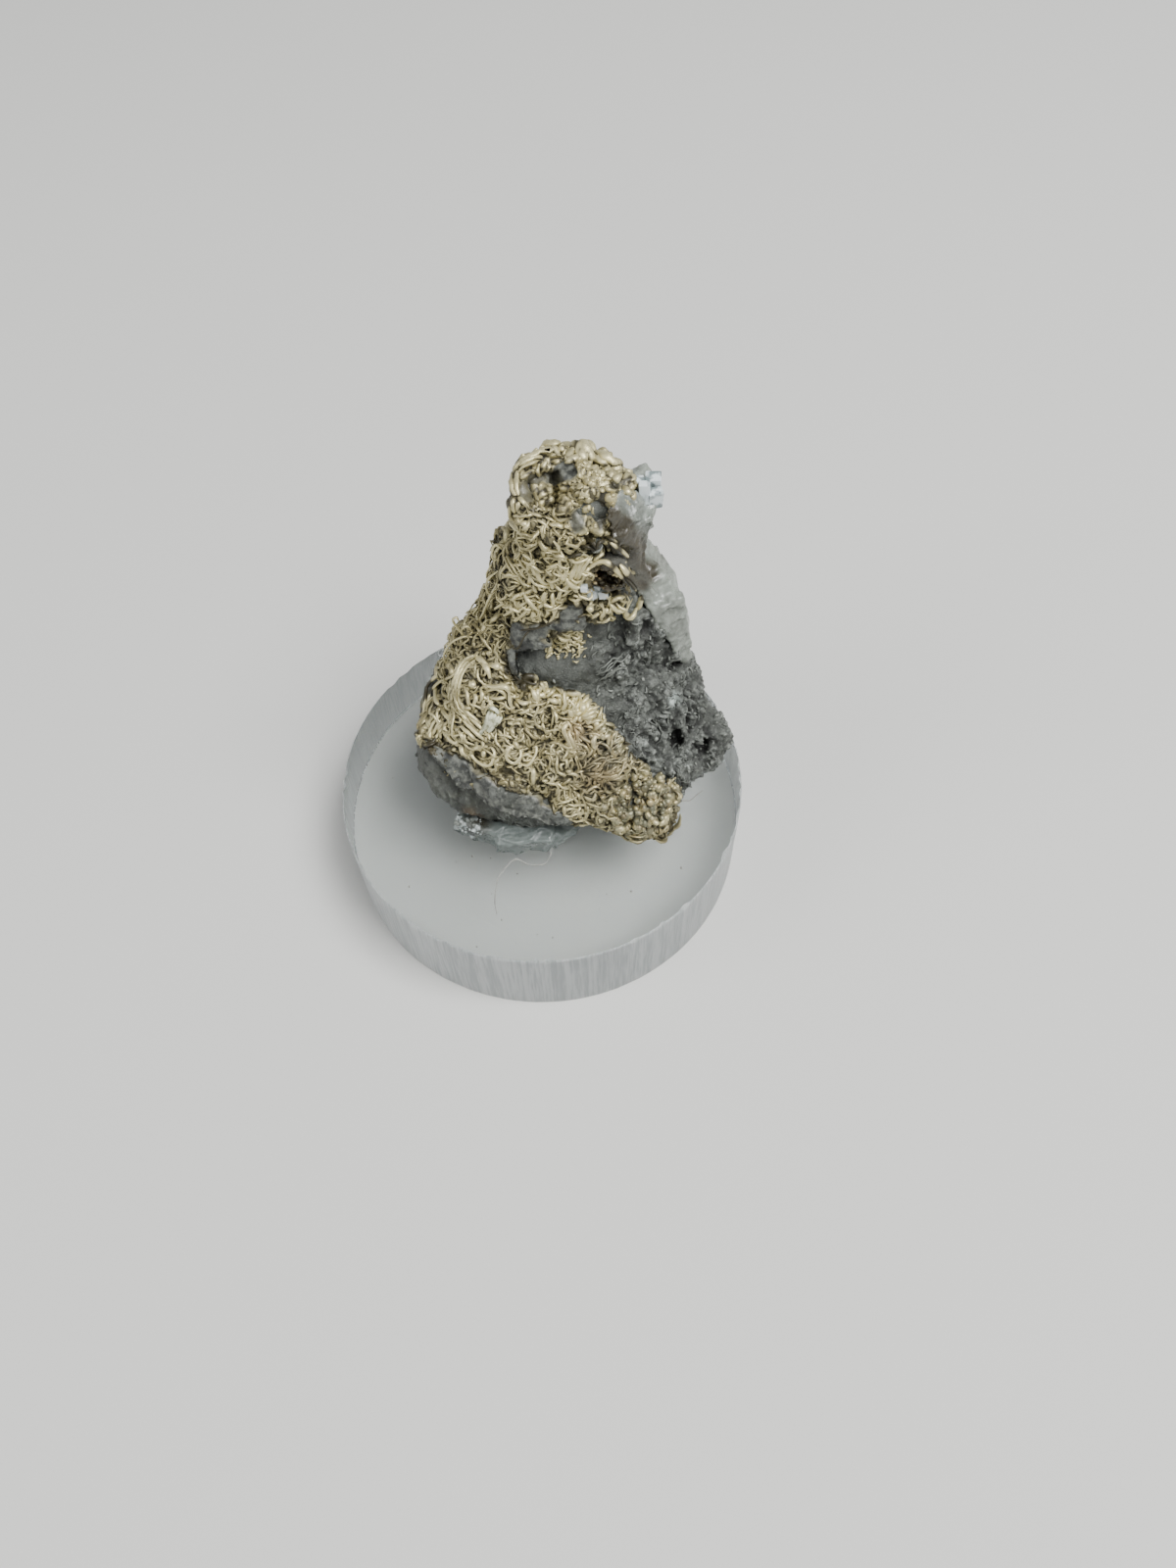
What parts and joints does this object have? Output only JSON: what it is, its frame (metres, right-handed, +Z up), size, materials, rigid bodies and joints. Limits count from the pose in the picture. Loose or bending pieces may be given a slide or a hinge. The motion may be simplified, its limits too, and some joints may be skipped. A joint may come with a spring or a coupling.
{
  "type": "native silver specimen on a clear base",
  "caption": "Dark tapering ore boulder matted with wire silver, with a nodular silver crown and pale calcite, fixed on a round clear acrylic base.",
  "frame": {"origin": "middle of the round base's underside", "axes": "+Z up, away from the base; -Y is the specimen's front, where the matted wires cover its belly; +X is the side with the calcite ridge"},
  "size_m": [0.0254, 0.0254, 0.0299],
  "materials": {
    "clear_acrylic": "gloss",
    "dark_sulphide": "satin",
    "tarnished_silver": "satin",
    "pale_calcite": "satin",
    "white_crystal": "gloss"
  },
  "bodies": {
    "root": {"acrylic_disc": "clear_acrylic", "sulphide_matrix": "dark_sulphide", "silver_wire_mat": "tarnished_silver", "silver_crown": "tarnished_silver", "calcite_ridge": "pale_calcite", "calcite_foot": "pale_calcite", "vug_crystals": "white_crystal"}
  },
  "joints": []
}
